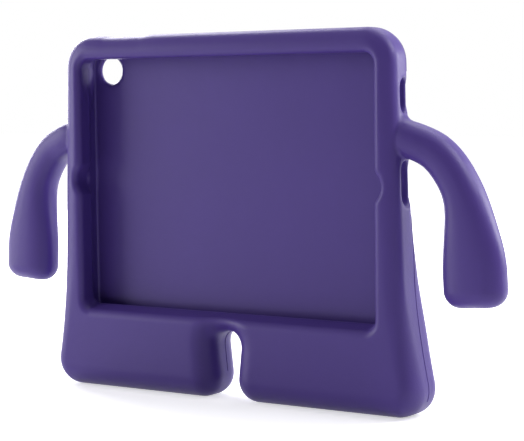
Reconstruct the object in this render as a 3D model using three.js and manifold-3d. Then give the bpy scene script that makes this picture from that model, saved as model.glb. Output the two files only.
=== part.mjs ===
// Child's stand-up foam case: one moulding with a frame, two arms and two feet.
// Millimetres, +Z up, the window faces -Y. The moulding is shaped about its pocket, whose middle
// is at x = z = 0 with the back of the rim on y = 0, and is then stood on its soles.
import * as THREE from 'three';
import { mergeVertices } from 'three/addons/utils/BufferGeometryUtils.js';
import Module from 'manifold-3d';

// Pocket
const pocketWidth = 242;
const pocketHeight = 186.5;
const pocketDepth = 9.8;
const pocketCornerRadius = 12.4;

// Foam around the pocket
const sideWall = 13;
const topWall = 9.8;
const rimDepth = 13.5;
const backWall = 5;
const topNarrowing = 3;
const topCornerRadius = 21.5;
const rearEdgeShare = 0.9;
const rearEdgeRadius = 12;

// Front face: it falls back towards the outline, where its edge is crisp above and soft below
const crownDrop = 5.2;
const crownReach = 12;
const crownRadius = 30;
const frontEdgeRadius = 3;
const footEdgeRadius = 8.5;
const footEdgeStart = 55;
const footEdgeEnd = 130;
const soleEdgeRadius = 3.4;

// Legs: the sides spread and the back swells towards the floor
const legLength = 51;
const footSpread = 12;
const spreadHeight = 90;
const spreadPower = 1.6;
const heelSwell = 12;
const heelHeight = 48;
const footCornerRadius = 22;

// Gap between the legs
const gapHeight = 46.6;
const gapTopWidth = 23.2;
const gapFloorWidth = 12.6;
const gapFootRadius = 17;
const gapEdgeRadius = 16;

// Window in the rim
const windowSideLip = 3.3;
const windowTopLip = 6.3;
const windowBottomLip = 8.5;
const windowCornerRadius = 7;
const windowEdgeRadius = 4.5;
const windowBottomSlope = 4.5;

// Finger notches in the window's two sides
const notchRadius = 10.5;
const notchDepth = 4.6;
const notchRise = 3;

// Slots through the right side wall into the pocket: each widens towards its mouth
const slotThroatWidth = 9.6;
const slotRearFlare = 2;
const lowerSlotLength = 30;
const lowerSlotWidth = 16;
const lowerSlotRise = 5;
const upperSlotLength = 23.5;
const upperSlotWidth = 14.4;
const upperSlotRise = 59.8;

// Round hole through the back
const backHoleDiameter = 18;
const backHoleFromSide = 14;
const backHoleFromTop = 14;
const backHoleFlare = 4;

// Arm: it leaves the side, arches over and hangs clear of the body
const armRootRise = 35.5;
const armReach = 46;
const armTipDrop = 107;
const armRootHalfWidth = 11.2;
const armElbowHalfWidth = 12.2;
const armTipHalfWidth = 20.8;
const armRootHalfDepth = 12.2;
const armTipHalfDepth = 12.5;
const armRootSetback = 2.4;
const armTipSetback = 6.2;
const armFilletRadius = 2.5;
const armTipRadius = 11;
const armSquareness = 0.85;

// Stations of the arm's middle line: shares of its reach, its drop and its setback
const armCourse = [
  { out: 0.1, down: 0.037, back: 0.1 },
  { out: 0.46, down: 0.12, back: 0.75 },
  { out: 0.79, down: 0.325, back: 1 },
  { out: 0.94, down: 0.63, back: 1 },
  { out: 1, down: 1, back: 1 },
];

// Shares of the arm's length at which it starts to widen and is at its full width
const armElbowShare = 0.4;
const armFullShare = 0.85;

// How finely curves are cut into flats
const cornerSteps = 6;
const edgeSteps = 5;
const spreadSteps = 9;
const slotSteps = 4;
const armSteps = 22;
const armSides = 24;
const holeSides = 32;

// A cutter reaches this far past the face it opens, and no corner is sharper than this radius
const overshoot = 2;
const sharpRadius = 0.4;
const weldDistance = 1e-4;

const foamColor = 0x544a80;
const foamRoughness = 0.6;

const frontY = -rimDepth;
const rearY = pocketDepth + backWall;
const halfWidth = pocketWidth / 2 + sideWall;
const topZ = pocketHeight / 2 + topWall;
const soleZ = -pocketHeight / 2 - legLength;
const spreadTopZ = soleZ + spreadHeight;
const heelTopZ = soleZ + heelHeight;

const wasm = await Module();
wasm.setup();

/** Closed solid for cutting and joining, from a closed geometry. */
function solidOf(geometry) {
  const bare = geometry.clone();
  bare.deleteAttribute('normal');
  bare.deleteAttribute('uv');
  const merged = mergeVertices(bare, weldDistance);
  const mesh = new wasm.Mesh({
    numProp: 3,
    vertProperties: new Float32Array(merged.attributes.position.array),
    triVerts: new Uint32Array(merged.index.array),
  });
  return new wasm.Manifold(mesh);
}

/** Geometry for the scene, from a cut solid. */
function geometryOf(solid) {
  const mesh = solid.getMesh();
  const geometry = new THREE.BufferGeometry();
  geometry.setAttribute('position', new THREE.BufferAttribute(mesh.vertProperties, 3));
  geometry.setIndex(new THREE.BufferAttribute(mesh.triVerts, 1));
  geometry.computeVertexNormals();
  return geometry;
}

/** Closed skin over a stack of rings with as many points each, capped by a fan at both ends. */
function loftRings(rings) {
  const count = rings[0].length;
  const points = rings.flat();
  const index = [];
  for (let ring = 0; ring < rings.length - 1; ring += 1) {
    for (let side = 0; side < count; side += 1) {
      const a = ring * count + side;
      const b = ring * count + (side + 1) % count;
      index.push(a, b, b + count, a, b + count, a + count);
    }
  }
  const addCap = (ring, flip) => {
    const middle = new THREE.Vector3();
    ring.points.forEach((point) => middle.addScaledVector(point, 1 / count));
    const hub = points.push(middle) - 1;
    for (let side = 0; side < count; side += 1) {
      const a = ring.start + side;
      const b = ring.start + (side + 1) % count;
      index.push(...(flip ? [hub, b, a] : [hub, a, b]));
    }
  };
  addCap({ points: rings[0], start: 0 }, true);
  addCap({ points: rings[rings.length - 1], start: (rings.length - 1) * count }, false);
  const geometry = new THREE.BufferGeometry().setFromPoints(points);
  geometry.setIndex(index);
  return geometry;
}

/** How far a quarter-round edge of this radius has drawn in at a depth below its face. */
function roundInset(radius, depth) {
  const rest = Math.max(radius - depth, 0);
  return radius - Math.sqrt(radius * radius - rest * rest);
}

/** Depths below a face at which a quarter-round edge of this radius is cut into flats. */
function roundDepths(radius) {
  return Array.from({ length: edgeSteps + 1 }, (_, step) => (
    radius * (1 - Math.cos(step / edgeSteps * Math.PI / 2))
  ));
}

/** Smooth step from 0 to 1. */
function ease(value) {
  const t = Math.min(Math.max(value, 0), 1);
  return t * t * (3 - 2 * t);
}

/**
 * Points round a polygon whose corners are rounded, pushed outwards by `outset`.
 * Corners run anticlockwise in [x, z], each with its own radius. Every call on the same
 * corners gives as many points, so the outlines can be lofted.
 */
function roundedOutline(corners, outset) {
  const unit = (from, to) => new THREE.Vector2(to.x - from.x, to.z - from.z).normalize();
  const points = [];
  corners.forEach((corner, i) => {
    const before = unit(corners[(i + corners.length - 1) % corners.length], corner);
    const after = unit(corner, corners[(i + 1) % corners.length]);
    const turn = Math.atan2(before.cross(after), before.dot(after));
    const side = turn < 0 ? -1 : 1;
    const radius = Math.max(corner.r + side * outset, sharpRadius);
    const outward = new THREE.Vector2(before.y + after.y, -before.x - after.x).normalize();
    const reach = 1 / Math.cos(turn / 2);
    const centre = new THREE.Vector2(corner.x, corner.z)
      .addScaledVector(outward, (outset - side * radius) * reach);
    const start = Math.atan2(-before.x, before.y) + (side < 0 ? Math.PI : 0);
    for (let step = 0; step <= cornerSteps; step += 1) {
      const angle = start + turn * step / cornerSteps;
      points.push({
        x: centre.x + radius * Math.cos(angle),
        z: centre.y + radius * Math.sin(angle),
      });
    }
  });
  return points;
}

/** Ring of an outline set at a depth y. */
function ringAt(outline, y) {
  return outline.map((point) => new THREE.Vector3(point.x, y, point.z));
}

/** Half width of the moulding at a height. */
function halfWidthAt(z) {
  const spread = Math.max(spreadTopZ - z, 0) / (spreadTopZ - soleZ);
  return halfWidth - topNarrowing * z / topZ + footSpread * spread ** spreadPower;
}

/** Back face of the moulding at a height. */
function rearAt(z) {
  return rearY + heelSwell * ease(z / heelTopZ);
}

/** Depth of the front face where the nearest outline is this far off. */
function crownedFrontAt(distance) {
  const share = Math.max(1 - distance / crownReach, 0);
  return frontY + crownDrop * share * share;
}

/** Radius of the front edge at a height: it softens down the legs. */
function frontEdgeAt(z) {
  const lower = ease((-footEdgeStart - z) / (footEdgeEnd - footEdgeStart));
  return THREE.MathUtils.lerp(frontEdgeRadius, footEdgeRadius, lower);
}

/** Level section of the blank, drawn in where the top and the feet round off. */
function blankSection(z) {
  const depthBelowTop = topZ - z;
  const heightAboveFloor = z - soleZ;
  const drawnIn = (topRadius, floorRadius) =>
    roundInset(topRadius, depthBelowTop) + roundInset(floorRadius, heightAboveFloor);
  const x = halfWidthAt(z) - drawnIn(topCornerRadius, footCornerRadius);
  const frontInset = drawnIn(frontEdgeRadius, soleEdgeRadius);
  const edge = crownedFrontAt(0) + frontInset;
  const middle = crownedFrontAt(Math.min(depthBelowTop, heightAboveFloor)) + frontInset;
  const frontRadius = frontEdgeAt(z) - frontInset;
  const rearInset = drawnIn(rearEdgeRadius, rearEdgeRadius);
  const rear = rearAt(z) - rearInset;
  const rearRadius = rearEdgeRadius - rearEdgeShare * rearInset;
  const corners = [
    { x: x - crownReach, z: middle, r: crownRadius },
    { x: x, z: edge, r: frontRadius },
    { x: x, z: rear, r: rearRadius },
    { x: -x, z: rear, r: rearRadius },
    { x: -x, z: edge, r: frontRadius },
    { x: crownReach - x, z: middle, r: crownRadius },
  ];
  return roundedOutline(corners, 0).map((point) => new THREE.Vector3(point.x, point.z, z));
}

/** Frame and legs before anything is cut from them. */
function bodyBlank() {
  const levels = roundDepths(footCornerRadius).map((depth) => soleZ + depth);
  const roundedFloor = soleZ + footCornerRadius;
  for (let step = 1; step <= spreadSteps; step += 1) {
    levels.push(THREE.MathUtils.lerp(roundedFloor, 0, step / spreadSteps));
  }
  levels.push(...roundDepths(topCornerRadius).reverse().map((depth) => topZ - depth));
  return solidOf(loftRings(levels.map(blankSection)));
}

/** Arched gap that parts the legs, with its edges rounded at the front and back faces. */
function legGap() {
  const topHalf = gapTopWidth / 2;
  const floorHalf = gapFloorWidth / 2;
  const archZ = soleZ + gapHeight;
  const mouthHalf = floorHalf + gapFootRadius + overshoot;
  const below = soleZ - overshoot;
  const corners = [
    { x: -mouthHalf, z: below, r: sharpRadius },
    { x: mouthHalf, z: below, r: sharpRadius },
    { x: mouthHalf, z: soleZ, r: sharpRadius },
    { x: floorHalf, z: soleZ, r: gapFootRadius },
    { x: topHalf, z: archZ, r: topHalf },
    { x: -topHalf, z: archZ, r: topHalf },
    { x: -floorHalf, z: soleZ, r: gapFootRadius },
    { x: -mouthHalf, z: soleZ, r: sharpRadius },
  ];
  const backY = rearAt(soleZ);
  const depths = roundDepths(gapEdgeRadius);
  const levels = [{ y: backY + overshoot, depth: 0 }];
  depths.forEach((depth) => levels.push({ y: backY - depth, depth }));
  depths.reverse().forEach((depth) => levels.push({ y: frontY + depth, depth }));
  levels.push({ y: frontY - overshoot, depth: 0 });
  const rings = levels.map(({ y, depth }) => (
    ringAt(roundedOutline(corners, roundInset(gapEdgeRadius, depth)), y)
  ));
  return solidOf(loftRings(rings));
}

/** Corners of a rectangle with one radius, anticlockwise. */
function rectangle(left, right, bottom, top, r) {
  return [
    { x: left, z: bottom, r },
    { x: right, z: bottom, r },
    { x: right, z: top, r },
    { x: left, z: top, r },
  ];
}

/** Pocket cutter. */
function pocket() {
  const x = pocketWidth / 2;
  const z = pocketHeight / 2;
  const outline = roundedOutline(rectangle(-x, x, -z, z, pocketCornerRadius), 0);
  return solidOf(loftRings([ringAt(outline, pocketDepth), ringAt(outline, 0)]));
}

/** Window cutter: its lower wall slopes down towards the front. */
function windowOpening() {
  const x = pocketWidth / 2 - windowSideLip;
  const top = pocketHeight / 2 - windowTopLip;
  const bottom = -pocketHeight / 2 + windowBottomLip;
  const levels = [{ y: overshoot, out: 0, slope: 0 }, { y: 0, out: 0, slope: 0 }];
  roundDepths(windowEdgeRadius).reverse().forEach((depth) => {
    const y = frontY + depth;
    levels.push({ y, out: roundInset(windowEdgeRadius, depth), slope: y / frontY });
  });
  levels.push({ y: frontY - overshoot, out: windowEdgeRadius, slope: 1 });
  const rings = levels.map(({ y, out, slope }) => {
    const lower = bottom - windowBottomSlope * slope;
    const corners = rectangle(-x, x, lower, top, windowCornerRadius);
    return ringAt(roundedOutline(corners, out), y);
  });
  return solidOf(loftRings(rings));
}

/** Finger notch in the window's side: +1 is the right side, -1 the left. */
function fingerNotch(side) {
  const profile = [new THREE.Vector2(0, -overshoot), new THREE.Vector2(notchRadius, -overshoot)];
  roundDepths(windowEdgeRadius).reverse().forEach((depth) => {
    const radius = notchRadius + roundInset(windowEdgeRadius, depth);
    profile.push(new THREE.Vector2(radius, rimDepth - depth));
  });
  profile.push(new THREE.Vector2(notchRadius + windowEdgeRadius, rimDepth + overshoot));
  profile.push(new THREE.Vector2(0, rimDepth + overshoot));
  const geometry = new THREE.LatheGeometry(profile, holeSides);
  geometry.rotateX(Math.PI);
  const windowSide = pocketWidth / 2 - windowSideLip;
  geometry.translate(side * (windowSide + notchDepth - notchRadius), 0, notchRise);
  return solidOf(geometry);
}

/** Slot with round ends through the right side wall, wider at its mouth than at the pocket. */
function sideSlot(length, width, rise) {
  const ring = (x) => {
    const flare = ease((x - pocketWidth / 2) / sideWall);
    const rearEdge = (pocketDepth + slotThroatWidth) / 2 + slotRearFlare * flare;
    const across = THREE.MathUtils.lerp(slotThroatWidth, width, flare);
    const half = (length - width + across) / 2;
    const r = across / 2 - sharpRadius;
    const corners = rectangle(rearEdge - across, rearEdge, rise - half, rise + half, r);
    return roundedOutline(corners, 0).map((point) => new THREE.Vector3(x, point.x, point.z));
  };
  const xs = [pocketWidth / 2 - overshoot];
  for (let step = 0; step <= slotSteps; step += 1) {
    xs.push(pocketWidth / 2 + sideWall * step / slotSteps);
  }
  xs.push(halfWidth + overshoot);
  return solidOf(loftRings(xs.map(ring)));
}

/** Round hole through the back, wider at the outside. */
function backHole() {
  const radius = backHoleDiameter / 2;
  const profile = [
    new THREE.Vector2(0, pocketDepth - overshoot),
    new THREE.Vector2(radius, pocketDepth - overshoot),
    new THREE.Vector2(radius, rearY - backHoleFlare),
    new THREE.Vector2(radius + backHoleFlare, rearY),
    new THREE.Vector2(radius + backHoleFlare, rearY + overshoot),
    new THREE.Vector2(0, rearY + overshoot),
  ];
  const geometry = new THREE.LatheGeometry(profile, holeSides);
  geometry.translate(backHoleFromSide - pocketWidth / 2, 0, pocketHeight / 2 - backHoleFromTop);
  return solidOf(geometry);
}

/** Middle line of the right arm, from inside the side wall to the tip. */
function armPath() {
  const rootX = halfWidth - sideWall;
  const stations = armCourse.map(({ out, down, back }) => new THREE.Vector3(
    halfWidth + out * armReach,
    THREE.MathUtils.lerp(armRootSetback, armTipSetback, back),
    armRootRise - down * armTipDrop,
  ));
  const root = new THREE.Vector3(rootX, armRootSetback, armRootRise);
  return new THREE.CatmullRomCurve3([root, ...stations], false, 'centripetal');
}

/** Half width of the arm across its middle line, at a share of its length. */
function armHalfWidthAt(share) {
  if (share < armElbowShare) {
    return THREE.MathUtils.lerp(armRootHalfWidth, armElbowHalfWidth, share / armElbowShare);
  }
  const pastElbow = (share - armElbowShare) / (armFullShare - armElbowShare);
  return THREE.MathUtils.lerp(armElbowHalfWidth, armTipHalfWidth, ease(pastElbow));
}

/** Section of the arm at a share of its length, drawn in by an inset where the tip rounds off. */
function armSection(path, share, inset) {
  const centre = path.getPointAt(share);
  const tangent = path.getTangentAt(share);
  const across = new THREE.Vector3(tangent.z, 0, -tangent.x).normalize();
  const pastWall = (centre.x - halfWidth) / armFilletRadius;
  const fillet = armFilletRadius * (1 - ease(pastWall)) ** 2;
  const a = armHalfWidthAt(share) + fillet - inset;
  const thinned = ease(share / armElbowShare);
  const b = THREE.MathUtils.lerp(armRootHalfDepth, armTipHalfDepth, thinned) - inset;
  const squared = (value) => Math.sign(value) * Math.abs(value) ** armSquareness;
  return Array.from({ length: armSides }, (_, side) => {
    const angle = side / armSides * Math.PI * 2;
    const point = centre.clone().addScaledVector(across, a * squared(Math.cos(angle)));
    return point.add(new THREE.Vector3(0, b * squared(Math.sin(angle)), 0));
  });
}

/** One arm: +1 is the right arm, -1 the left. */
function arm(side) {
  const path = armPath();
  const length = path.getLength();
  const roundStart = 1 - armTipRadius / length;
  const rings = [];
  for (let step = 0; step < armSteps; step += 1) {
    rings.push(armSection(path, roundStart * step / armSteps, 0));
  }
  roundDepths(armTipRadius).reverse().forEach((depth) => {
    rings.push(armSection(path, 1 - depth / length, roundInset(armTipRadius, depth)));
  });
  if (side < 0) {
    rings.forEach((ring) => ring.reverse().forEach((point) => point.setX(-point.x)));
  }
  return solidOf(loftRings(rings));
}

/** The whole moulding about its pocket. */
function foamCase() {
  let solid = bodyBlank().add(arm(1)).add(arm(-1));
  const cutters = [
    legGap(),
    pocket(),
    windowOpening(),
    fingerNotch(1),
    fingerNotch(-1),
    sideSlot(lowerSlotLength, lowerSlotWidth, lowerSlotRise),
    sideSlot(upperSlotLength, upperSlotWidth, upperSlotRise),
    backHole(),
  ];
  cutters.forEach((cutter) => {
    solid = solid.subtract(cutter);
  });
  return geometryOf(solid);
}

const foam = new THREE.MeshStandardMaterial({
  color: foamColor,
  roughness: foamRoughness,
  metalness: 0,
});
const mesh = new THREE.Mesh(foamCase(), foam);
mesh.name = 'foam_case';

// The moulding stands on its soles, with the middle of its outer box over the origin
mesh.position.set(0, -(frontY + rearAt(soleZ)) / 2, -soleZ);

const model = new THREE.Group();
model.add(mesh);

export default model;
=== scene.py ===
"""Looks of a child's stand-up foam case: the moulding, its parting line, floor, lamps and camera.

The moulding is one smooth skin. It is described as a signed distance in millimetres about the
pocket's middle (x to the right, y to the back, z up), meshed, and stood on its soles in metres.
"""

import logging
import math
from dataclasses import dataclass, field
from enum import Enum
from typing import Any, Callable, Iterable, Union

import bpy
import numpy as np
from mathutils import Matrix, Vector


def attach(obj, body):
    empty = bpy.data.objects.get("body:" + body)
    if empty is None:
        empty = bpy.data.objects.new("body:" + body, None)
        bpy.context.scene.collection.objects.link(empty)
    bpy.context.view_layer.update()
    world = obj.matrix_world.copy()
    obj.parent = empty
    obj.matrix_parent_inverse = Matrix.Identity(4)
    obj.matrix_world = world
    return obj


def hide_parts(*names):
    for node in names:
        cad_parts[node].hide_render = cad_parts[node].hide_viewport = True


logging.basicConfig(level=logging.INFO, format="%(name)s: %(message)s")
LOG = logging.getLogger("foam_case")

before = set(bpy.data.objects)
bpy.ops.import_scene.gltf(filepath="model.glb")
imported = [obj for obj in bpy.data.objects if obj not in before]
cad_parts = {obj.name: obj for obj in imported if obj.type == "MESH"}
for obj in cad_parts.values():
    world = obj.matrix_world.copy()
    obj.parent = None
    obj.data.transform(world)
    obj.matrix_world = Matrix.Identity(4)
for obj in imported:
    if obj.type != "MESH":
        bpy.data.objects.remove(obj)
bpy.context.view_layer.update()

Array = np.ndarray
Distance = Callable[[Array], Array]
MM = 0.001
TINY = 1e-9
SLOPE_STEP = 0.5
PROBE = 0.04
LEAST_STEEPNESS = 0.2
BODY = "root"
CAD_NODE = "foam_case"


# Rules for joining and cutting shapes given by signed distances

def ease(value: Array) -> Array:
    """Smooth step from 0 to 1."""
    t = np.clip(value, 0.0, 1.0)
    return t * t * (3.0 - 2.0 * t)


def rounded_both(a: Array, b: Array, radius: Union[float, Array]) -> Array:
    """Distance to what lies inside both shapes, with the edge between them rounded.

    Args:
        a: signed distance to the first shape.
        b: signed distance to the second shape.
        radius: radius of the edge.

    Returns:
        The signed distance, negative inside.
    """
    over = np.hypot(np.maximum(a + radius, 0.0), np.maximum(b + radius, 0.0))
    return over + np.minimum(np.maximum(a, b) + radius, 0.0) - radius


def filleted_either(a: Array, b: Array, radius: Union[float, Array]) -> Array:
    """Distance to two shapes joined, with the inner corner between them filled to a radius."""
    return -rounded_both(-a, -b, radius)


def gradient(distance: Distance, points: Array) -> Array:
    """Direction and steepness of a signed distance at each point."""
    slopes = []
    for axis in range(3):
        shift = np.zeros(3)
        shift[axis] = PROBE
        slopes.append((distance(points + shift) - distance(points - shift)) / (2 * PROBE))
    return np.stack(slopes, axis=1)


def steepness(slope: Array) -> Array:
    """Square of a slope's size, kept clear of zero."""
    return np.maximum((slope**2).sum(axis=1), LEAST_STEEPNESS)


@dataclass(frozen=True)
class Foam:
    """Sizes of the blank that the whole moulding is cut from.

    Attributes are millimetres about the pocket's middle.
    """

    pocket_width: float = 242.0
    pocket_height: float = 186.5
    pocket_depth: float = 9.8
    pocket_corner: float = 12.4
    pocket_floor_fillet: float = 1.6
    side_wall: float = 13.0
    top_wall: float = 9.8
    rim_depth: float = 13.5
    back_wall: float = 5.0
    top_narrowing: float = 3.0
    top_corner: float = 21.5
    top_dip: float = 0.85
    top_dip_from: float = -104.0
    top_dip_to: float = -58.0
    top_dip_fade: float = 9.0
    crown_drop: float = 5.2
    crown_reach: float = 12.0
    front_edge: float = 3.0
    foot_edge: float = 8.5
    foot_edge_from: float = -55.0
    foot_edge_to: float = -130.0
    sole_edge: float = 3.4
    toe_edge: float = 11.0
    toe_length: float = 45.0
    rear_edge: float = 12.0
    leg_length: float = 51.0
    foot_spread: float = 12.0
    spread_height: float = 90.0
    spread_power: float = 1.6
    heel_swell: float = 12.0
    heel_height: float = 48.0
    foot_corner: float = 22.0

    @property
    def front(self) -> float:
        """Depth of the front face."""
        return -self.rim_depth

    @property
    def half_width(self) -> float:
        """Half width at the pocket's middle."""
        return self.pocket_width / 2 + self.side_wall

    @property
    def top(self) -> float:
        """Height of the top edge."""
        return self.pocket_height / 2 + self.top_wall

    @property
    def sole(self) -> float:
        """Height of the soles."""
        return -self.pocket_height / 2 - self.leg_length

    def half_width_at(self, z: Array) -> Array:
        """Half width of the moulding at a height."""
        spread = np.maximum(self.sole + self.spread_height - z, 0.0) / self.spread_height
        return (self.half_width - self.top_narrowing * z / self.top
                + self.foot_spread * spread ** self.spread_power)

    def rear_at(self, z: Array) -> Array:
        """Depth of the back face at a height: it swells towards the heels."""
        flat = self.pocket_depth + self.back_wall
        return flat + self.heel_swell * ease(z / (self.sole + self.heel_height))

    def side(self, x: Array, z: Array) -> Array:
        """Distance to the two sides, allowing for their slope."""
        ends = self.half_width_at(z + SLOPE_STEP), self.half_width_at(z - SLOPE_STEP)
        slope = (ends[0] - ends[1]) / (2 * SLOPE_STEP)
        return (np.abs(x) - self.half_width_at(z)) / np.hypot(1.0, slope)

    def outline(self, x: Array, z: Array) -> Array:
        """Distance to the moulding's outline seen from the front, without arms and leg gap."""
        dip = (ease((x - self.top_dip_from) / self.top_dip_fade)
               * ease((self.top_dip_to - x) / self.top_dip_fade))
        top = z - (self.top - self.top_dip * dip)
        upper = rounded_both(self.side(x, z), top, self.top_corner)
        return rounded_both(upper, self.sole - z, self.foot_corner)

    def rear(self, y: Array, z: Array) -> Array:
        """Distance to the back face, allowing for its slope."""
        ends = self.rear_at(z + SLOPE_STEP), self.rear_at(z - SLOPE_STEP)
        slope = (ends[0] - ends[1]) / (2 * SLOPE_STEP)
        return (y - self.rear_at(z)) / np.hypot(1.0, slope)

    def front_face(self, y: Array, outline: Array) -> Array:
        """Distance to the front face, which is crowned: it falls back towards the outline."""
        share = np.clip(1.0 + outline / self.crown_reach, 0.0, 1.0)
        slope = 2.0 * self.crown_drop / self.crown_reach * share
        return (self.front + self.crown_drop * share**2 - y) / np.hypot(1.0, slope)

    def front_edge_at(self, x: Array, z: Array) -> Array:
        """Radius of the front edge: crisp on the frame, soft down the legs, crisp at the soles."""
        lower = ease((self.foot_edge_from - z) / (self.foot_edge_from - self.foot_edge_to))
        upright = self.front_edge + (self.foot_edge - self.front_edge) * lower
        near_side = np.maximum(self.side(x, z) + self.foot_corner, 0.0)
        near_sole = np.maximum(self.sole - z + self.foot_corner, 0.0)
        toe = ease(1.0 + self.side(x, z) / self.toe_length)
        level = self.sole_edge + (self.toe_edge - self.sole_edge) * toe
        share = ease(np.arctan2(near_sole, near_side + TINY) / (math.pi / 2))
        return upright + (level - upright) * share

    def blank(self, p: Array) -> Array:
        """Distance to the blank."""
        x, y, z = p.T
        outline = self.outline(x, z)
        plate = rounded_both(outline, self.front_face(y, outline), self.front_edge_at(x, z))
        return rounded_both(plate, self.rear(y, z), self.rear_edge)

    def pocket(self, p: Array) -> Array:
        """Distance to the pocket's hollow."""
        x, y, z = p.T
        wide = np.abs(x) - self.pocket_width / 2
        tall = np.abs(z) - self.pocket_height / 2
        deep = np.abs(y - self.pocket_depth / 2) - self.pocket_depth / 2
        outline = rounded_both(wide, tall, self.pocket_corner)
        return rounded_both(outline, deep, self.pocket_floor_fillet)


@dataclass(frozen=True)
class Window:
    """Window in the rim, with a lower wall that slopes down towards the front, and two notches."""

    foam: Foam
    side_lip: float = 3.3
    top_lip: float = 6.3
    bottom_lip: float = 8.5
    corner: float = 7.0
    edge: float = 4.5
    slope: float = 4.5
    notch_radius: float = 10.5
    notch_depth: float = 4.6
    notch_rise: float = 3.0
    notch_shoulder: float = 2.5
    reach: float = 1.0

    def hollow(self, p: Array) -> Array:
        """Distance to the hollow of the window and its notches."""
        x, y, z = p.T
        side = self.foam.pocket_width / 2 - self.side_lip
        top = self.foam.pocket_height / 2 - self.top_lip
        bottom = self.bottom_lip - self.foam.pocket_height / 2
        forward = np.clip(y / self.foam.front, 0.0, 1.0)
        lean = math.hypot(1.0, self.slope / self.foam.rim_depth)
        lower = (bottom - self.slope * forward - z) / lean
        outline = rounded_both(np.abs(x) - side, z - top, self.corner)
        outline = rounded_both(outline, lower, self.corner)
        middle = side + self.notch_depth - self.notch_radius
        notch = np.hypot(np.abs(x) - middle, z - self.notch_rise) - self.notch_radius
        outline = filleted_either(outline, notch, self.notch_shoulder)
        return np.maximum(outline, y - self.reach)


@dataclass(frozen=True)
class LegGap:
    """Arched gap that parts the legs."""

    foam: Foam
    height: float = 46.6
    top_width: float = 23.2
    floor_width: float = 12.6
    foot_edge: float = 17.0
    face_edge: float = 16.0
    arch_share: float = 0.97

    def parted(self, p: Array) -> Array:
        """Distance to the foam that the gap leaves, as if the foam had no outer sides."""
        x, y, z = p.T
        foam = self.foam
        arch = foam.sole + self.height
        top_half = self.top_width / 2
        floor_half = self.floor_width / 2
        slope = (top_half - floor_half) / self.height
        half = floor_half + slope * (z - foam.sole)
        wall = (np.abs(x) - half) / math.hypot(1.0, slope)
        gap = rounded_both(wall, z - arch, self.arch_share * top_half)
        legs = rounded_both(-gap, foam.sole - z, self.foot_edge)
        legs = rounded_both(legs, foam.front - y, self.face_edge)
        return rounded_both(legs, foam.rear(y, z), self.face_edge)


class Slot(Enum):
    """Slots through the right side wall: mouth's length, width and rise, in millimetres."""

    LOWER = (30.0, 16.0, 5.0)
    UPPER = (23.5, 14.4, 59.8)


@dataclass(frozen=True)
class SideSlots:
    """Slots with round ends through the right side wall, wider at the mouth than at the pocket."""

    foam: Foam
    throat: float = 9.6
    rear_flare: float = 2.0
    edge: float = 1.4
    inset: float = 2.0

    def hollow(self, p: Array) -> Array:
        """Distance to the hollow of all the slots."""
        x, y, z = p.T
        foam = self.foam
        inner = foam.pocket_width / 2 - self.inset
        outer = foam.half_width + self.inset
        flare = ease((x - foam.pocket_width / 2) / foam.side_wall)
        rear = (foam.pocket_depth + self.throat) / 2 + self.rear_flare * flare
        hollows = []
        for length, width, rise in (slot.value for slot in Slot):
            across = self.throat + (width - self.throat) * flare
            radius = across / 2
            straight = (length - width + across) / 2 - radius
            past_straight = np.maximum(np.abs(z - rise) - straight, 0.0)
            ends = np.hypot(y - (rear - radius), past_straight) - radius
            hollows.append(np.maximum(ends, np.maximum(inner - x, x - outer)))
        return np.minimum(*hollows)


@dataclass(frozen=True)
class BackHole:
    """Round hole through the back wall, flared at the outside."""

    foam: Foam
    diameter: float = 18.0
    from_side: float = 14.0
    from_top: float = 14.0
    edge: float = 3.6
    inset: float = 2.0

    def hollow(self, p: Array) -> Array:
        """Distance to the hole's hollow."""
        x, y, z = p.T
        middle_x = self.from_side - self.foam.pocket_width / 2
        middle_z = self.foam.pocket_height / 2 - self.from_top
        bore = np.hypot(x - middle_x, z - middle_z) - self.diameter / 2
        return np.maximum(bore, self.foam.pocket_depth - self.inset - y)


@dataclass(frozen=True)
class Station:
    """Point of an arm's middle line, as shares of its reach, drop and setback."""

    out: float
    down: float
    back: float


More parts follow.
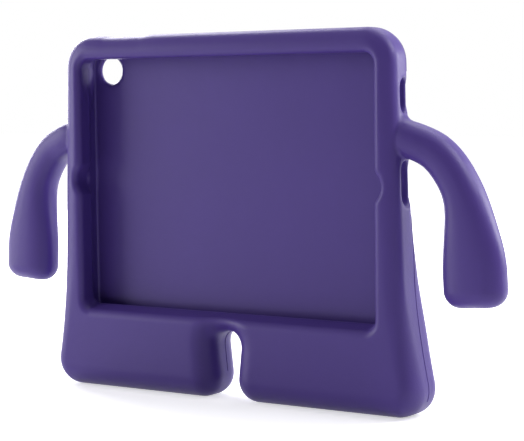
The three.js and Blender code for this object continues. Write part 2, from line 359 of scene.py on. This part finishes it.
@dataclass(frozen=True)
class Arm:
    """The two hanging arms, mirror images of each other, swept along one middle line."""

    foam: Foam
    root_rise: float = 35.5
    reach: float = 46.0
    tip_drop: float = 107.0
    root_half_width: float = 11.2
    elbow_half_width: float = 12.2
    tip_half_width: float = 20.8
    hidden_half_depth: float = 9.0
    root_half_depth: float = 12.2
    tip_half_depth: float = 12.5
    root_setback: float = 2.4
    tip_setback: float = 6.2
    tip_radius: float = 11.0
    squareness: float = 2.35
    elbow_share: float = 0.4
    full_share: float = 0.85
    root_blend: float = 14.0
    armpit_fillet: float = 5.5
    face_fillet: float = 1.5
    far: float = 40.0
    samples: int = 72
    course: tuple[Station, ...] = (
        Station(0.1, 0.037, 0.1), Station(0.46, 0.12, 0.75), Station(0.79, 0.325, 1.0),
        Station(0.94, 0.63, 1.0), Station(1.0, 1.0, 1.0),
    )

    def knots(self) -> Array:
        """Points that the middle line of the right arm passes through."""
        foam = self.foam
        rows = [(foam.half_width - foam.side_wall, self.root_setback, self.root_rise)]
        for stop in self.course:
            rows.append((
                foam.half_width + stop.out * self.reach,
                self.root_setback + (self.tip_setback - self.root_setback) * stop.back,
                self.root_rise - stop.down * self.tip_drop,
            ))
        return np.array(rows)

    def path(self) -> Array:
        """Middle line of the right arm, as evenly spaced points.

        Returns:
            An array of points along a centripetal spline through the knots.
        """
        knots = self.knots()
        ends = [2 * knots[0] - knots[1], *knots, 2 * knots[-1] - knots[-2]]
        fine = []
        for a, b, c, d in zip(ends, ends[1:], ends[2:], ends[3:]):
            gaps = [math.sqrt(np.linalg.norm(q - p)) for p, q in ((a, b), (b, c), (c, d))]
            into = ((b - a) / gaps[0] - (c - a) / (gaps[0] + gaps[1]) + (c - b) / gaps[1]) * gaps[1]
            out = ((c - b) / gaps[1] - (d - b) / (gaps[1] + gaps[2]) + (d - c) / gaps[2]) * gaps[1]
            t = np.linspace(0.0, 1.0, self.samples, endpoint=False)[:, None]
            fine.append((2 * t**3 - 3 * t**2 + 1) * b + (t**3 - 2 * t**2 + t) * into
                        + (3 * t**2 - 2 * t**3) * c + (t**3 - t**2) * out)
        line = np.vstack([*fine, knots[-1:]])
        along = np.concatenate([[0.0], np.cumsum(np.linalg.norm(np.diff(line, axis=0), axis=1))])
        even = np.linspace(0.0, along[-1], self.samples)
        return np.stack([np.interp(even, along, line[:, i]) for i in range(3)], axis=1)

    def half_width_at(self, share: Array) -> Array:
        """Half width across the middle line, at a share of the arm's length."""
        early = np.clip(share / self.elbow_share, 0.0, 1.0)
        late = ease((share - self.elbow_share) / (self.full_share - self.elbow_share))
        return (self.root_half_width + (self.elbow_half_width - self.root_half_width) * early
                + (self.tip_half_width - self.elbow_half_width) * late)

    def nearest(self, x: Array, z: Array) -> tuple[Array, Array, Array]:
        """Nearest place on the middle line, seen from the front.

        Args:
            x: distances from the middle of the case.
            z: heights.

        Returns:
            How far along the line, how far beside it, and its depth there.
        """
        line = self.path()
        flat = line[:, [0, 2]]
        spans = np.diff(flat, axis=0)
        lengths = np.linalg.norm(spans, axis=1)
        starts = np.concatenate([[0.0], np.cumsum(lengths)])
        best = np.full(len(x), np.inf)
        along, beside, depth = np.zeros(len(x)), np.zeros(len(x)), np.zeros(len(x))
        for i, (span, length) in enumerate(zip(spans, lengths)):
            unit = span / length
            dx, dz = x - flat[i, 0], z - flat[i, 1]
            run = dx * unit[0] + dz * unit[1]
            low = -np.inf if i == 0 else 0.0
            high = np.inf if i == len(spans) - 1 else length
            held = np.clip(run, low, high)
            gap = (dx - held * unit[0]) ** 2 + (dz - held * unit[1]) ** 2
            closer = gap < best
            best[closer] = gap[closer]
            along[closer] = starts[i] + held[closer]
            share = np.clip(held[closer] / length, 0.0, 1.0)
            depth[closer] = line[i, 1] + share * (line[i + 1, 1] - line[i, 1])
            side = dz * unit[0] - dx * unit[1]
            beside[closer] = side[closer]
        return along / starts[-1], beside, depth

    def joined(self, body: Array, p: Array) -> Array:
        """Distance to the body with both arms grown out of its sides.

        Args:
            body: distance to the body at each point.
            p: the points.

        Returns:
            Distance to body and arms.
        """
        result = body.copy()
        x, y, z = np.abs(p[:, 0]), p[:, 1], p[:, 2]
        near = ((x > self.foam.half_width - self.side_wall_reach)
                & (z < self.root_rise + self.far)
                & (z > self.root_rise - self.tip_drop - self.far))
        x, y, z = x[near], y[near], z[near]
        share, beside, middle = self.nearest(x, z)
        span = np.linalg.norm(np.diff(self.path(), axis=0), axis=1).sum()
        wide = self.half_width_at(share)
        past_wall = ease(share * span / self.root_blend)
        thinned = ease(share / self.elbow_share)
        shown = self.root_half_depth + (self.tip_half_depth - self.root_half_depth) * thinned
        deep = self.hidden_half_depth + (shown - self.hidden_half_depth) * past_wall
        power = self.squareness
        u, v = np.abs(beside) / wide, np.abs(y - middle) / deep
        swell = (u**power + v**power) ** (1.0 / power) + TINY
        slope = np.hypot((u / swell) ** (power - 1) / wide, (v / swell) ** (power - 1) / deep)
        section = (swell - 1.0) / np.maximum(slope, 1.0 / self.far)
        limb = rounded_both(section, (share - 1.0) * span, self.tip_radius)
        limb = np.maximum(limb, -share * span)
        fillet = self.face_fillet + (self.armpit_fillet - self.face_fillet) * (1.0 - ease(v))
        result[near] = filleted_either(body[near], limb, fillet)
        return result

    @property
    def side_wall_reach(self) -> float:
        """How far inside the body's side the arms are still felt."""
        return self.foam.side_wall + self.root_blend


@dataclass(frozen=True)
class GradedAxis:
    """Grid positions that lie close together inside named zones and further apart elsewhere."""

    start: float
    stop: float
    zones: tuple[tuple[float, float], ...]
    fine: float = 1.4
    coarse: float = 4.0
    fade: float = 12.0

    def ticks(self) -> Array:
        """Positions along the axis, in millimetres."""
        trace = np.arange(self.start, self.stop, self.fine / 10)
        away = np.min([np.maximum(lo - trace, trace - hi) for lo, hi in self.zones], axis=0)
        spacing = self.fine + (self.coarse - self.fine) * ease(away / self.fade)
        count = np.concatenate([[0.0], np.cumsum(np.diff(trace) / spacing[1:])])
        return np.interp(np.linspace(0.0, count[-1], math.ceil(count[-1]) + 1), count, trace)


@dataclass(frozen=True)
class Skin:
    """Mesh of quads over the surface where a signed distance is zero."""

    distance: Distance
    axes: tuple[Array, Array, Array]
    rounds: int = 6
    step_limit: float = 0.6

    def values(self) -> Array:
        """Signed distance at each grid point."""
        shape = tuple(len(axis) for axis in self.axes)
        slabs = []
        for x in self.axes[0]:
            y, z = np.meshgrid(self.axes[1], self.axes[2], indexing="ij")
            points = np.stack([np.full(y.size, x), y.ravel(), z.ravel()], axis=1)
            slabs.append(self.distance(points))
        return np.stack(slabs).reshape(shape)

    def build(self) -> tuple[Array, Array]:
        """Vertices and quads of the closed skin, faces outwards.

        Returns:
            Vertices in millimetres, and four vertex numbers for each quad.
        """
        values = self.values()
        inside = values < 0.0
        near = inside[:-1, :-1, :-1].astype(int)
        for dx, dy, dz in list(np.ndindex(2, 2, 2))[1:]:
            ends = [n - 1 + d for n, d in zip(inside.shape, (dx, dy, dz))]
            near += inside[dx:ends[0], dy:ends[1], dz:ends[2]]
        cells = np.argwhere((near > 0) & (near < 8))
        number = np.full(near.shape, -1)
        number[tuple(cells.T)] = np.arange(len(cells))
        points = self.settled(self.crossings(values, cells))
        quads = np.vstack([self.faces(inside, number, axis) for axis in range(3)])
        return points, quads

    def crossings(self, values: Array, cells: Array) -> Array:
        """Mean of the places where the surface crosses each cell's edges."""
        total = np.zeros((len(cells), 3))
        hits = np.zeros((len(cells), 1))
        corners = list(np.ndindex(2, 2, 2))
        for a in corners:
            for axis in range(3):
                if a[axis]:
                    continue
                b = tuple(v + (i == axis) for i, v in enumerate(a))
                at = [tuple((cells + corner).T) for corner in (a, b)]
                va, vb = values[at[0]], values[at[1]]
                cut = ((va < 0) != (vb < 0))[:, None]
                t = (va / np.where(va == vb, 1.0, va - vb))[:, None]
                pa, pb = (np.stack([self.axes[i][at[end][i]] for i in range(3)], axis=1)
                          for end in (0, 1))
                total += np.where(cut, pa + t * (pb - pa), 0.0)
                hits += cut
        return total / hits

    def settled(self, points: Array) -> Array:
        """Points moved on to the surface itself."""
        for _ in range(self.rounds):
            slope = gradient(self.distance, points)
            move = slope * (self.distance(points) / steepness(slope))[:, None]
            size = np.linalg.norm(move, axis=1, keepdims=True)
            points = points - move * np.minimum(1.0, self.step_limit / np.maximum(size, TINY))
        return points

    @staticmethod
    def faces(inside: Array, number: Array, axis: int) -> Array:
        """Quads across the grid lines of one direction."""
        right, up = (axis + 1) % 3, (axis + 2) % 3
        lower = np.take(inside, range(inside.shape[axis] - 1), axis)
        upper = np.take(inside, range(1, inside.shape[axis]), axis)
        places = np.argwhere(lower != upper)
        out = lower[tuple(places.T)]
        ring = []
        for dr, du in ((-1, -1), (0, -1), (0, 0), (-1, 0)):
            cell = places.copy()
            cell[:, right] += dr
            cell[:, up] += du
            ring.append(number[tuple(cell.T)])
        quads = np.stack(ring, axis=1)
        return np.where(out[:, None], quads, quads[:, ::-1])


# Shader nodes

class Value:
    """Socket of a shader node that takes part in sums, with numbers or with other sockets."""

    def __init__(self, tree: "NodeTree", socket: bpy.types.NodeSocket) -> None:
        """Wraps a socket of a tree."""
        self.tree = tree
        self.socket = socket

    def _maths(self, operation: str, first: Any, second: Any) -> "Value":
        """Math node on two values."""
        return self.tree.add("ShaderNodeMath", {"operation": operation}, {0: first, 1: second})

    def __add__(self, other: Any) -> "Value":
        """Sum."""
        return self._maths("ADD", self, other)

    def __radd__(self, other: Any) -> "Value":
        """Sum with the number first."""
        return self._maths("ADD", other, self)

    def __sub__(self, other: Any) -> "Value":
        """Difference."""
        return self._maths("SUBTRACT", self, other)

    def __rsub__(self, other: Any) -> "Value":
        """Difference from a number."""
        return self._maths("SUBTRACT", other, self)

    def __mul__(self, other: Any) -> "Value":
        """Product."""
        return self._maths("MULTIPLY", self, other)

    def __rmul__(self, other: Any) -> "Value":
        """Product with the number first."""
        return self._maths("MULTIPLY", other, self)


class NodeTree:
    """Shader nodes of one material or world."""

    def __init__(self, owner: Any) -> None:
        """Empties the owner's node tree and keeps it."""
        owner.use_nodes = True
        self.nodes = owner.node_tree.nodes
        self.links = owner.node_tree.links
        self.nodes.clear()

    def add(self, kind: str, settings: dict[str, Any] | None = None,
            inputs: dict[Any, Any] | None = None, output: Any = 0) -> Value:
        """Adds a node.

        Args:
            kind: the node's type.
            settings: its properties, set before its sockets.
            inputs: numbers, colours or values for its sockets, by name or place.
            output: name or place of the socket that is handed back.

        Returns:
            The chosen output, ready for sums.
        """
        node = self.nodes.new(kind)
        for name, setting in (settings or {}).items():
            setattr(node, name, setting)
        for key, given in (inputs or {}).items():
            if isinstance(given, Value):
                self.links.new(given.socket, node.inputs[key])
            else:
                node.inputs[key].default_value = given
        return Value(self, node.outputs[output] if node.outputs else None)

    def seen(self) -> Value:
        """One for rays from the camera and for reflected or passing rays, else zero."""
        rays = [self.add("ShaderNodeLightPath", output=f"Is {kind} Ray")
                for kind in ("Camera", "Glossy", "Transmission")]
        return self.add("ShaderNodeMath", {"operation": "MINIMUM"}, {
            0: rays[0] + rays[1] + rays[2], 1: 1.0})

    def finish(self, kind: str, surface: Value) -> None:
        """Ends the tree in its output node."""
        self.add(kind, None, {"Surface": surface})


Rgb = tuple[float, float, float]


def linear(color: Rgb) -> tuple[float, float, float, float]:
    """Colour for a socket, from one as it is seen on a screen."""
    low, offset, power, toe = 0.04045, 0.055, 2.4, 12.92
    seen = [c / toe if c <= low else ((c + offset) / (1 + offset)) ** power for c in color]
    return (*seen, 1.0)


@dataclass(frozen=True)
class FoamFinish:
    """Moulded closed-cell foam: even purple, satin skin with a very fine grain."""

    name: str = "purple_foam"
    deep: Rgb = (0.280, 0.206, 0.500)
    pale: Rgb = (0.302, 0.226, 0.530)
    roughness: float = 0.42
    roughness_swing: float = 0.05
    cloud_size: float = 0.055
    grain_size: float = 0.0011
    grain_depth: float = 0.00006
    skin_size: float = 0.006
    skin_depth: float = 0.00012
    gloss: float = 0.26
    grain_share: float = 0.2

    def material(self) -> bpy.types.Material:
        """Builds the material."""
        material = bpy.data.materials.new(self.name)
        tree = NodeTree(material)
        place = tree.add("ShaderNodeTexCoord", output="Object")
        cloud, grain, skin = (
            tree.add("ShaderNodeTexNoise", None, {
                "Vector": place, "Scale": 1 / size, "Detail": detail, "Roughness": roughness})
            for size, detail, roughness in (
                (self.cloud_size, 3.0, 0.5), (self.grain_size, 2.0, 0.6),
                (self.skin_size, 2.0, 0.5)))
        tone = tree.add("ShaderNodeMix", {"data_type": "RGBA", "clamp_factor": True}, {
            "Factor": (1 - self.grain_share) * cloud + self.grain_share * grain,
            6: linear(self.deep), 7: linear(self.pale)}, output=2)
        rough = self.roughness + self.roughness_swing * (cloud - 0.5) * 2.0
        fine = tree.add("ShaderNodeBump", None, {
            "Strength": 1.0, "Distance": self.grain_depth, "Height": grain}, output="Normal")
        soft = tree.add("ShaderNodeBump", None, {
            "Strength": 1.0, "Distance": self.skin_depth, "Height": skin, "Normal": fine},
            output="Normal")
        shader = tree.add("ShaderNodeBsdfPrincipled", None, {
            "Base Color": tone, "Roughness": rough, "Normal": soft,
            "Specular IOR Level": self.gloss})
        tree.finish("ShaderNodeOutputMaterial", shader)
        return material


@dataclass(frozen=True)
class PaperFinish:
    """White sweep that keeps the case's shadow and fades to plain white away from it.

    The glow is seen by the camera and in reflections, and lights nothing.
    """

    name: str = "white_sweep"
    tone: Rgb = (0.95, 0.95, 0.955)
    roughness: float = 0.9
    gloss: float = 0.2
    near_glow: float = 0.56
    far_glow: float = 1.0
    near_radius: float = 0.26
    far_radius: float = 0.7

    def material(self) -> bpy.types.Material:
        """Builds the material."""
        material = bpy.data.materials.new(self.name)
        tree = NodeTree(material)
        place = tree.add("ShaderNodeTexCoord", output="Object")
        radius = tree.add("ShaderNodeVectorMath", {"operation": "LENGTH"}, {0: place},
                          output="Value")
        share = tree.add("ShaderNodeMapRange", {"interpolation_type": "SMOOTHSTEP"}, {
            "Value": radius, "From Min": self.near_radius, "From Max": self.far_radius})
        glow = self.near_glow + (self.far_glow - self.near_glow) * share
        light = tree.add("ShaderNodeMix", {"data_type": "RGBA"}, {
            "Factor": tree.seen() * glow, 6: (0.0, 0.0, 0.0, 1.0), 7: (1.0, 1.0, 1.0, 1.0)},
            output=2)
        shader = tree.add("ShaderNodeBsdfPrincipled", None, {
            "Base Color": linear(self.tone), "Roughness": self.roughness,
            "Specular IOR Level": self.gloss, "Emission Color": light, "Emission Strength": 1.0})
        tree.finish("ShaderNodeOutputMaterial", shader)
        return material


# Pieces

@dataclass
class Moulding:
    """The foam case in one smooth piece."""

    foam: Foam = field(default_factory=Foam)
    lip_edge: float = 0.8
    margin: float = 4.0
    gap_zone: float = 26.0
    depth_spacing: float = 1.2

    def __post_init__(self) -> None:
        """Makes the sub-assemblies that share the blank's sizes."""
        self.window = Window(self.foam)
        self.gap = LegGap(self.foam)
        self.slots = SideSlots(self.foam)
        self.hole = BackHole(self.foam)
        self.arms = Arm(self.foam)

    @property
    def lift(self) -> Array:
        """Shift from the pocket's middle to the model's origin, in millimetres."""
        foam = self.foam
        middle = (foam.front + float(foam.rear_at(np.array(foam.sole)))) / 2
        return np.array([0.0, -middle, -foam.sole])

    def distance(self, p: Array) -> Array:
        """Signed distance to the foam.

        Args:
            p: points in millimetres about the pocket's middle.

        Returns:
            Distance to the foam's surface at each point, negative inside.
        """
        body = np.maximum(self.foam.blank(p), self.gap.parted(p))
        solid = self.arms.joined(body, p)
        solid = rounded_both(solid, -self.window.hollow(p), self.window.edge)
        solid = rounded_both(solid, -self.foam.pocket(p), self.lip_edge)
        solid = rounded_both(solid, -self.slots.hollow(p), self.slots.edge)
        return rounded_both(solid, -self.hole.hollow(p), self.hole.edge)

    def axes(self) -> tuple[Array, Array, Array]:
        """Grid on which the foam is meshed: fine at the rim, arms and legs."""
        foam, arm, margin = self.foam, self.arms, self.margin
        reach = foam.half_width + arm.reach + arm.tip_half_width + margin
        rim = foam.pocket_width / 2 - self.window.side_lip - 2 * self.window.edge
        across = GradedAxis(-reach, reach, ((-reach, -rim), (-self.gap_zone, self.gap_zone),
                                             (rim, reach)))
        rear = foam.pocket_depth + foam.back_wall + foam.heel_swell + margin
        deep = GradedAxis(foam.front - margin, rear, ((foam.front, rear),), self.depth_spacing)
        up = GradedAxis(foam.sole - margin, foam.top + margin, ((foam.sole, foam.top),))
        return across.ticks(), deep.ticks(), up.ticks()

    def build(self) -> bpy.types.Object:
        """Meshes the foam and makes its object."""
        skin = Skin(self.distance, self.axes())
        points, quads = skin.build()
        mesh = bpy.data.meshes.new("foam_moulding")
        mesh.from_pydata(((points + self.lift) * MM).tolist(), [], quads.tolist())
        mesh.validate()
        mesh.shade_smooth()
        moulding = bpy.data.objects.new("foam_moulding", mesh)
        bpy.context.collection.objects.link(moulding)
        LOG.info("foam_moulding: %d points, %d triangles", len(points), 2 * len(quads))
        return moulding

    def dress(self, moulding: bpy.types.Object, foam: bpy.types.Material) -> None:
        """Gives the moulding its material and says what it stands for."""
        moulding.data.materials.append(foam)
        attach(moulding, BODY)
        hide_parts(CAD_NODE)


@dataclass
class PartingLine:
    """Fine raised line where the mould's halves met, on the sides, the top and the leg gap."""

    moulding: Moulding
    depth: float = 8.6
    radius: float = 0.3
    pitch: float = 2.0
    sides: int = 8
    sole_margin: float = 9.0
    slot_margin: float = 3.5
    rounds: int = 12
    corner_stops: int = 14
    arch_stops: int = 22

    def settled(self, x: Array, z: Array) -> Array:
        """Points of the line's plane moved on to the foam's outline there.

        Args:
            x: distances from the middle of the case.
            z: heights.

        Returns:
            Points in millimetres.
        """
        points = np.stack([x, np.full(len(x), self.depth), z], axis=1)
        distance = self.moulding.distance
        for _ in range(self.rounds):
            slope = gradient(distance, points)
            slope[:, 1] = 0.0
            points = points - slope * (distance(points) / steepness(slope))[:, None]
        return points

    def courses(self) -> list[Array]:
        """Each unbroken stretch of the line, clear of soles, arms and slots."""
        foam, gap, arm = self.moulding.foam, self.moulding.gap, self.moulding.arms
        low = foam.sole + self.sole_margin
        corner = foam.top_corner

        def side(sign: float, bottom: float, top: float) -> Array:
            """Upright stretch on one side."""
            z = np.arange(bottom, top, self.pitch)
            return self.settled(sign * foam.half_width_at(z), z)

        lower, upper = (slot.value for slot in (Slot.LOWER, Slot.UPPER))
        lower_slot_foot = lower[2] - lower[0] / 2 - self.slot_margin
        upper_slot_head = upper[2] + upper[0] / 2 + self.slot_margin
        arm_foot = arm.root_rise - arm.root_half_width - arm.armpit_fillet
        arm_head = arm.root_rise + arm.root_half_width + arm.armpit_fillet
        shoulder = foam.top - corner
        half = float(foam.half_width_at(np.array(shoulder)))
        turn = np.linspace(0.0, math.pi / 2, self.corner_stops)
        right = np.stack([half - corner + corner * np.cos(turn),
                          shoulder + corner * np.sin(turn)], axis=1)
        across = np.arange(half - corner, corner - half, -self.pitch)
        left = right[::-1] * (-1.0, 1.0)
        head = np.vstack([right, np.stack([across, np.full(len(across), foam.top)], axis=1), left])
        over = np.vstack([side(1.0, upper_slot_head, shoulder),
                          self.settled(head[:, 0], head[:, 1]),
                          side(-1.0, arm_head, shoulder)[::-1]])
        sweep = np.linspace(0.0, math.pi, self.arch_stops)
        radius = gap.top_width / 2
        arch = np.stack([radius * np.cos(sweep),
                         foam.sole + gap.height - radius + radius * np.sin(sweep)], axis=1)
        rise = np.arange(foam.sole + gap.foot_edge, foam.sole + gap.height - radius, self.pitch)
        wall = np.stack([np.full(len(rise), radius), rise], axis=1)
        hoop = np.vstack([wall, arch, wall[::-1] * (-1.0, 1.0)])
        return [side(1.0, low, lower_slot_foot), over, side(-1.0, low, arm_foot),
                self.settled(hoop[:, 0], hoop[:, 1])]

    def tree(self) -> bpy.types.GeometryNodeTree:
        """Geometry nodes that lay a round bead along edges, with its sizes as inputs."""
        tree = bpy.data.node_groups.new("parting_bead", "GeometryNodeTree")
        tree.interface.new_socket("Geometry", in_out="INPUT", socket_type="NodeSocketGeometry")
        for name, kind in (("Radius", "Float"), ("Pitch", "Float"), ("Sides", "Int"),
                           ("Material", "Material")):
            tree.interface.new_socket(name, in_out="INPUT", socket_type=f"NodeSocket{kind}")
        tree.interface.new_socket("Geometry", in_out="OUTPUT", socket_type="NodeSocketGeometry")
        make, link = tree.nodes.new, tree.links.new
        given, result = make("NodeGroupInput"), make("NodeGroupOutput")
        line, spaced = make("GeometryNodeMeshToCurve"), make("GeometryNodeResampleCurve")
        ring, bead = make("GeometryNodeCurvePrimitiveCircle"), make("GeometryNodeCurveToMesh")
        real, dressed = make("GeometryNodeRealizeInstances"), make("GeometryNodeSetMaterial")
        spaced.mode = "LENGTH"
        bead.inputs["Fill Caps"].default_value = True
        link(given.outputs["Geometry"], line.inputs["Mesh"])
        link(line.outputs["Curve"], spaced.inputs["Curve"])
        link(given.outputs["Pitch"], spaced.inputs["Length"])
        link(given.outputs["Sides"], ring.inputs["Resolution"])
        link(given.outputs["Radius"], ring.inputs["Radius"])
        link(spaced.outputs["Curve"], bead.inputs["Curve"])
        link(ring.outputs["Curve"], bead.inputs["Profile Curve"])
        link(bead.outputs["Mesh"], real.inputs["Geometry"])
        link(real.outputs["Geometry"], dressed.inputs["Geometry"])
        link(given.outputs["Material"], dressed.inputs["Material"])
        link(dressed.outputs["Geometry"], result.inputs["Geometry"])
        return tree

    def build(self, foam: bpy.types.Material) -> bpy.types.Object:
        """Lays the bead.

        Args:
            foam: the moulding's own material.

        Returns:
            The bead as a plain mesh object.
        """
        points, edges = [], []
        courses = self.courses()
        for course in courses:
            first = len(points)
            points += ((course + self.moulding.lift) * MM).tolist()
            edges += [(i, i + 1) for i in range(first, len(points) - 1)]
        path = bpy.data.meshes.new("parting_path")
        path.from_pydata(points, edges, [])
        guide = bpy.data.objects.new("parting_path", path)
        bpy.context.collection.objects.link(guide)
        tree = self.tree()
        modifier = guide.modifiers.new("bead", "NODES")
        modifier.node_group = tree
        sizes = {"Radius": self.radius * MM, "Pitch": self.pitch * MM, "Sides": self.sides,
                 "Material": foam}
        for item in tree.interface.items_tree:
            if item.in_out == "INPUT" and item.name in sizes:
                modifier[item.identifier] = sizes[item.name]
        bpy.context.view_layer.update()
        seen = guide.evaluated_get(bpy.context.evaluated_depsgraph_get())
        mesh = bpy.data.meshes.new_from_object(seen)
        guide.modifiers.clear()
        bpy.data.objects.remove(guide)
        mesh.name = "parting_line"
        mesh.shade_smooth()
        line = bpy.data.objects.new("parting_line", mesh)
        bpy.context.collection.objects.link(line)
        LOG.info("parting_line: %d courses, %d faces", len(courses), len(mesh.polygons))
        return line

    def dress(self, line: bpy.types.Object) -> None:
        """Says what the bead belongs to."""
        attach(line, BODY)


# Studio

@dataclass(frozen=True)
class Lamp:
    """Soft square lamp aimed at the case, placed by degrees round it and above the floor."""

    name: str
    side: float
    rise: float
    power: float
    size: float = 1.0
    distance: float = 1.8

    def build(self, aim: Vector) -> bpy.types.Object:
        """Places the lamp.

        Args:
            aim: the point that it shines on.

        Returns:
            The lamp's object.
        """
        light = bpy.data.lights.new(self.name, "AREA")
        light.size = self.size
        light.energy = self.power
        turn, rise = math.radians(self.side), math.radians(self.rise)
        away = Vector((math.sin(turn) * math.cos(rise), -math.cos(turn) * math.cos(rise),
                       math.sin(rise)))
        lamp = bpy.data.objects.new(self.name, light)
        lamp.location = aim + away * self.distance
        lamp.rotation_euler = away.to_track_quat("Z", "Y").to_euler()
        bpy.context.collection.objects.link(lamp)
        return lamp


@dataclass(frozen=True)
class Studio:
    """White floor, soft lamps and a pale surround."""

    half_floor: float = 6.0
    aim_height: float = 0.12
    surround: float = 0.04
    seen_white: float = 1.0
    lamps: tuple[Lamp, ...] = (
        Lamp("left_rear_lamp", -120.0, 12.0, 27.0),
        Lamp("left_high_lamp", -120.0, 35.0, 23.0),
        Lamp("left_front_lamp", -60.0, 12.0, 17.0),
        Lamp("rear_high_lamp", 180.0, 60.0, 10.0),
        Lamp("top_lamp", 0.0, 80.0, 5.0),
        Lamp("right_high_lamp", 120.0, 60.0, 6.0),
        Lamp("right_lamp", 106.0, 38.0, 2.3, 0.3, 0.7),
        Lamp("edge_lamp", 134.0, 14.0, 2.4, 0.25, 0.75),
    )

    def build(self) -> None:
        """Makes the floor, the lamps and the world."""
        mesh = bpy.data.meshes.new("floor")
        h = self.half_floor
        mesh.from_pydata([(-h, -h, 0), (h, -h, 0), (h, h, 0), (-h, h, 0)], [], [(0, 1, 2, 3)])
        floor = bpy.data.objects.new("floor", mesh)
        floor.data.materials.append(PaperFinish().material())
        bpy.context.collection.objects.link(floor)
        for lamp in self.lamps:
            lamp.build(Vector((0.0, 0.0, self.aim_height)))
        self.build_world()
        LOG.info("studio: floor, %d lamps", len(self.lamps))

    def build_world(self) -> None:
        """Pale surround that the camera sees as white."""
        world = bpy.data.worlds.new("surround")
        bpy.context.scene.world = world
        tree = NodeTree(world)
        strength = self.surround + (self.seen_white - self.surround) * tree.seen()
        background = tree.add("ShaderNodeBackground", None, {
            "Color": (1.0, 1.0, 1.0, 1.0), "Strength": strength})
        tree.finish("ShaderNodeOutputWorld", background)


@dataclass(frozen=True)
class Camera:
    """Camera at the photograph's viewing angle, round the model's origin."""

    azimuth: float = 33.21
    elevation: float = 4.36
    roll: float = -0.615
    distance: float = 1.090
    focal_pixels: float = 1644.0
    image_width: float = 524.0
    sensor: float = 36.0
    target: tuple[float, float, float] = (0.0264, -0.00665, 0.12235)

    def build(self) -> None:
        """Places the camera and makes it the scene's own."""
        a, e, r = (math.radians(v) for v in (self.azimuth, self.elevation, self.roll))
        back = Vector((math.sin(a) * math.cos(e), -math.cos(a) * math.cos(e), math.sin(e)))
        level = Vector((math.cos(a), math.sin(a), 0.0))
        upright = back.cross(level)
        right = math.cos(r) * level + math.sin(r) * upright
        up = math.cos(r) * upright - math.sin(r) * level
        lens = bpy.data.cameras.new("camera")
        lens.sensor_fit = "HORIZONTAL"
        lens.sensor_width = self.sensor
        lens.lens = self.sensor * self.focal_pixels / self.image_width
        camera = bpy.data.objects.new("camera", lens)
        turn = Matrix((right, up, back)).transposed().to_4x4()
        camera.matrix_world = Matrix.Translation(Vector(self.target) + back * self.distance) @ turn
        bpy.context.collection.objects.link(camera)
        bpy.context.scene.camera = camera


def main() -> None:
    """Builds the case, then the studio round it."""
    bpy.context.scene.view_settings.view_transform = "Standard"
    Camera().build()
    case = Moulding()
    moulding = case.build()
    foam = FoamFinish().material()
    case.dress(moulding, foam)
    parting = PartingLine(case)
    parting.dress(parting.build(foam))
    Studio().build()


if __name__ == "__main__":
    main()
